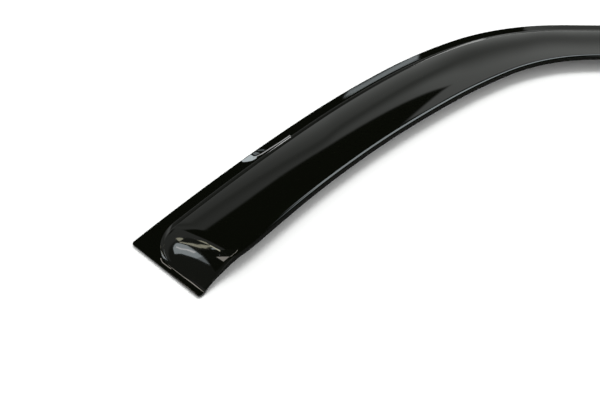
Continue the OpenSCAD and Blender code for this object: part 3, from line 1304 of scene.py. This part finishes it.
@dataclass
class Studio:
    """Table, surroundings that the gloss shows, lamps and camera."""

    camera_place: tuple[float, float, float] = (-0.26158, -0.44014, 0.39555)
    camera_tilt: float = 41.0
    lens: float = 33.0
    sensor: float = 36.0
    clip: tuple[float, float] = (0.01, 50.0)
    sky_strength: float = 0.72
    # The soft box: watts, size, and its azimuth, height and distance.
    box_power: float = 80.0
    box_size: tuple[float, float] = (2.0, 1.4)
    box_place: tuple[float, float, float] = (20.0, 79.0, 4.0)
    # The walls are a dome of rings of points, from its foot upwards in degrees.
    dome_radius: float = 3.0
    dome_rings: int = 24
    dome_sides: int = 72
    dome_foot: float = -2.0
    dome_rise: float = 91.5
    table_half: float = 3.2
    table_colour: Colour = (0.97, 0.98, 0.97)
    table_glow: float = 0.03
    # The table stays white where the lamp no longer reaches.
    table_far_glow: float = 0.32
    table_near: float = 0.7
    table_fade: float = 1.2
    # Each strip's name, its near and far edge from the lip, height and strength.
    strips: tuple[tuple[str, float, float, float, float], ...] = (
        # The dark sheet, from under the lip forwards, is painted shade that the lip mirrors in place of the
        # shaded table; the bright strip under the lip is a painted highlight for its lower edge.
        ("front_cloth", 0.002, -1.2, 0.0004, 0.11),
        ("lip_strip", 0.007, 0.0005, 0.0008, 4.0),
    )
    strip_start: float = -0.32
    strip_step: float = 0.01
    panels: tuple[GlossPanel, ...] = (
        # Window at the left with its frame, which the ramp of the nose shows.
        GlossPanel(
            "side_window",
            ((-80, 38.4), (-80, 40.2), (-75, 42), (-70, 43.6), (-67, 45.2), (-65, 46.3), (-63.5, 45.3),
             (-61, 43.5), (-60, 41.5), (-59.6, 39.7), (-62, 39.0), (-66, 38.5)),
            4.6, COOL, feather=0.05,
        ),
        GlossPanel(
            "window_glare",
            ((-62.5, 41.9), (-66.5, 41.5), (-70, 40.1), (-75, 39.1)),
            8.5, width=1.1, distance=2.85,
        ),
        GlossPanel("side_window_tip", ((-79.9, 38.4), (-80, 40.2), (-87.6, 38.0)), 2.4, COOL),
        GlossPanel(
            "curtain",
            ((-59.6, 38.2), (-59, 36.3), (-57.8, 35.6), (-56, 35.8), (-55.2, 36.8), (-57.2, 37.6)),
            4.2, WARM,
        ),
        GlossPanel(
            "window_board",
            ((-72.5, 36.9), (-69, 37.5), (-65.8, 37.9), (-62, 38.5), (-60.2, 38.8), (-60.5, 38.1),
             (-64, 37.3), (-66, 36.6), (-69.5, 36.4), (-72, 36.6)),
            4.4, WARM,
        ),
        # Cards held just over the nose: painted glints, and a dark flag that paints a dark reflection.
        CloseCard(
            "window_edge",
            ((-343, -157.5, 20.5), (-337.5, -162, 21), (-332, -166.5, 21.5)),
            8.0, WARM, width=1.3,
        ),
        GlossPanel(
            "high_lamp",
            ((-92, 49.5), (-85, 53.5), (-75, 56), (-65, 57.5), (-55, 58), (-44, 55.2)),
            7.0, CREAM, width=3.2,
        ),
        CloseCard(
            "nose_flag",
            ((-354, -161, 18), (-348, -162.5, 20), (-340, -162.5, 22), (-333, -164, 24),
             (-324, -163, 26), (-316, -160, 27), (-314, -171, 28), (-323, -179, 26), (-333, -184, 21),
             (-338, -186, 18), (-341, -181, 18), (-347, -172, 19)),
            0.02, feather=0.04,
        ),
        CloseCard(
            "ramp_glint",
            ((-314.8, -167, 24.1), (-314.9, -170, 24.2), (-316, -172.6, 24.2), (-319, -174.9, 23.6),
             (-321.5, -175.8, 22.9)),
            7.0, CREAM, width=0.8,
        ),
        CloseCard(
            "foot_glint",
            ((-383, -164.4, 6), (-380.7, -168.6, 6), (-375.7, -172.7, 6), (-372, -175.5, 6)),
            5.0, CREAM, width=0.8,
        ),
        CloseCard(
            "nose_glint",
            ((-335.5, -172.5, 19), (-328.5, -178.5, 20), (-322, -174.5, 22.5)),
            4.2, CREAM, feather=0.05,
        ),
        # Ceiling light, which the turn of the lip shows.
        GlossPanel(
            "ceiling_light",
            ((-12, 49), (-6, 56), (8, 61), (45, 64), (80, 61), (94, 53), (91, 43), (70, 43), (40, 43),
             (22, 40), (14, 41), (6, 46)),
            5.0, COOL, feather=0.08,
        ),
        # Lights over the far side, which the flat flange shows. The rail cards are held just over the
        # flange: painted reflections of such lights.
        GlossPanel(
            "far_lens",
            ((0.2, 37.9), (1.1, 37.55), (2.3, 37.15), (3.5, 36.55), (4.7, 35.95), (5.8, 35.45),
             (6.9, 34.85), (8.0, 34.25), (9.1, 33.65), (10.1, 33.15), (10.7, 32.8), (10.75, 32.2),
             (9.0, 33.1), (6.9, 34.2), (4.6, 35.4), (2.3, 36.5), (1.1, 37.0)),
            2.7, COOL, feather=0.04,
        ),
        CloseCard(
            "rail_patch",
            ((-320.6, -46, 4.6), (-316, -41.5, 4.6), (-311.8, -37, 4.6), (-308.7, -39.6, 4.6),
             (-305, -39, 4.6), (-306, -42.5, 4.6), (-310, -45.8, 4.6), (-315, -47.3, 4.6),
             (-319, -47.8, 4.6)),
            9.0, COOL, feather=0.05,
        ),
        CloseCard(
            "rail_line",
            ((-309.5, -42, 4.6), (-301, -36.3, 4.6), (-288.6, -24.4, 4.6), (-281.8, -18, 4.6),
             (-272, -8, 4.6)),
            6.5, width=1.4,
        ),
        CloseCard(
            "rail_sheen",
            ((-305.7, -30.2, 4.6), (-298.6, -29.0, 4.6), (-298, -31.2, 4.6), (-304.6, -32, 4.6)),
            1.4, COOL,
        ),
        CloseCard(
            "rail_glow",
            ((-310.7, -35.8, 4.6), (-306.6, -33.1, 4.6), (-302.4, -35, 4.6), (-307.3, -37.9, 4.6)),
            2.4, COOL,
        ),
    )

    @staticmethod
    def stage_object(
        name: str, mesh: bpy.types.Mesh, material: bpy.types.Material, role: Light = Light.REFLECTIONS
    ) -> None:
        """Adds an object that isn't part of the deflector.

        Args:
            name: its name.
            mesh: its mesh.
            material: its material.
            role: which rays it answers to.
        """
        thing = bpy.data.objects.new(name, mesh)
        mesh.materials.append(material)
        bpy.context.scene.collection.objects.link(thing)
        if role is Light.REFLECTIONS:
            thing.visible_camera = thing.visible_diffuse = thing.visible_shadow = False
            thing.visible_transmission = thing.visible_volume_scatter = False

    @staticmethod
    def seen(tree: bpy.types.NodeTree) -> Value:
        """1 for camera, glossy and transmission rays, otherwise 0.

        Args:
            tree: the tree that reads the kind of ray.

        Returns:
            The value.
        """
        rays = tree.nodes.new("ShaderNodeLightPath")
        kinds = ("Camera", "Glossy", "Transmission")
        camera, glossy, through = (Value(tree, rays.outputs[f"Is {kind} Ray"]) for kind in kinds)
        return camera.most(glossy).most(through)

    def build_table(self) -> None:
        """Adds the white table."""
        h = self.table_half
        mesh = bpy.data.meshes.new("table")
        mesh.from_pydata([(-h, -h, 0), (h, -h, 0), (h, h, 0), (-h, h, 0)], [], [(0, 1, 2, 3)])
        material, tree = empty_material("table_white")
        diffuse, both = tree.nodes.new("ShaderNodeBsdfDiffuse"), tree.nodes.new("ShaderNodeAddShader")
        diffuse.inputs["Color"].default_value = (*self.table_colour, 1)
        x, y, _ = parts(tree, tree.nodes.new("ShaderNodeTexCoord").outputs["Object"])
        far = rise(hypot(x, y), self.table_near, self.table_fade)
        glow = emission(tree, self.seen(tree) * (far * self.table_far_glow + self.table_glow))
        tree.links.new(diffuse.outputs[0], both.inputs[0])
        tree.links.new(glow, both.inputs[1])
        to_surface(tree, both.outputs[0])
        self.stage_object("table", mesh, material, Light.TABLE)

    def build_strips(self, sheet: bpy.types.Object) -> None:
        """Lays a dark sheet of painted shade and a bright strip of painted highlight, which only the lip's
        gloss shows.

        Args:
            sheet: the formed sheet, whose free edge they follow.
        """
        foot: dict[int, float] = {}
        for vertex in sheet.data.vertices:
            step = round(vertex.co.x / self.strip_step)
            foot[step] = min(foot.get(step, 1.0), vertex.co.y)
        line = [(k * self.strip_step, y) for k, y in sorted(foot.items())]
        line = [(x, y) for x, y in line if x > self.strip_start]
        n = len(line)
        for name, near, far, level, strength in self.strips:
            places = [(x, y + shift, level) for shift in (near, far) for x, y in line]
            mesh = bpy.data.meshes.new(name)
            mesh.from_pydata(places, [], [(n + i, n + i + 1, i + 1, i) for i in range(n - 1)])
            material, tree = empty_material(f"{name}_finish")
            to_surface(tree, emission(tree, strength))
            self.stage_object(name, mesh, material)

    def build_walls(self) -> None:
        """Adds the studio's walls, which only the gloss of the object shows."""
        rings, sides = self.dome_rings, self.dome_sides
        places = [
            dome_place(360 * j / sides, self.dome_foot + self.dome_rise * i / (rings - 1), self.dome_radius)
            for i in range(rings)
            for j in range(sides)
        ]
        mesh = bpy.data.meshes.new("studio_walls")
        mesh.from_pydata(places, [], row_faces(rings, sides, closed=True))
        self.stage_object("studio_walls", mesh, WallPaint().make(self.dome_radius))
        for panel in self.panels:
            self.stage_object(f"panel_{panel.name}", panel.mesh(), panel.material())

    def build_world(self) -> None:
        """Plain white surroundings, white to the camera and in glass and gloss."""
        world = bpy.data.worlds.new("studio")
        world.use_nodes = True
        tree = world.node_tree
        back = next(node for node in tree.nodes if node.bl_idname == "ShaderNodeBackground")
        back.inputs["Color"].default_value = (1, 1, 1, 1)
        feed(tree, back.inputs["Strength"], self.seen(tree) * (1 - self.sky_strength) + self.sky_strength)
        bpy.context.scene.world = world

    def build_lamps(self) -> None:
        """Adds the large soft box behind and above the object."""
        data = bpy.data.lights.new("soft_box", "AREA")
        data.shape = "RECTANGLE"
        data.size, data.size_y = self.box_size
        data.energy = self.box_power
        lamp = bpy.data.objects.new("soft_box", data)
        lamp.location = dome_place(*self.box_place)
        lamp.rotation_euler = (-lamp.location).to_track_quat("-Z", "Y").to_euler()
        lamp.visible_camera = lamp.visible_glossy = False
        bpy.context.scene.collection.objects.link(lamp)

    def build_camera(self) -> None:
        """Adds the camera at the photograph's place."""
        data = bpy.data.cameras.new("camera")
        data.sensor_width = self.sensor
        data.lens = self.lens
        data.clip_start, data.clip_end = self.clip
        camera = bpy.data.objects.new("camera", data)
        camera.location = self.camera_place
        camera.rotation_euler = (math.radians(self.camera_tilt), 0, 0)
        bpy.context.scene.collection.objects.link(camera)
        bpy.context.scene.camera = camera

    def build(self, sheet: bpy.types.Object) -> None:
        """Builds everything round the object.

        Args:
            sheet: the formed sheet.
        """
        self.build_camera()
        self.build_table()
        self.build_strips(sheet)
        self.build_walls()
        self.build_world()
        self.build_lamps()
        bpy.context.scene.view_settings.view_transform = "Standard"
        LOG.info("studio: table, walls, %d panels, lamp, camera", len(self.panels))


def main() -> None:
    """Builds the deflector and its studio."""
    logging.basicConfig(level=logging.INFO, format="%(name)s: %(message)s")
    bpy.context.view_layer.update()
    marks = handling_marks()
    finishes = {
        Slot.ACRYLIC: SmokedAcrylic().make(marks),
        Slot.FOAM: ClosedCellFoam().make(marks),
        Slot.LINER: LinerFilm().make(marks),
    }
    sheet = Sheet().build(finishes[Slot.ACRYLIC])
    LOG.info("visor_sheet: %d faces", len(sheet.data.polygons))
    BondingStrips().dress(finishes)
    Studio().build(sheet)


if __name__ == "__main__":
    main()
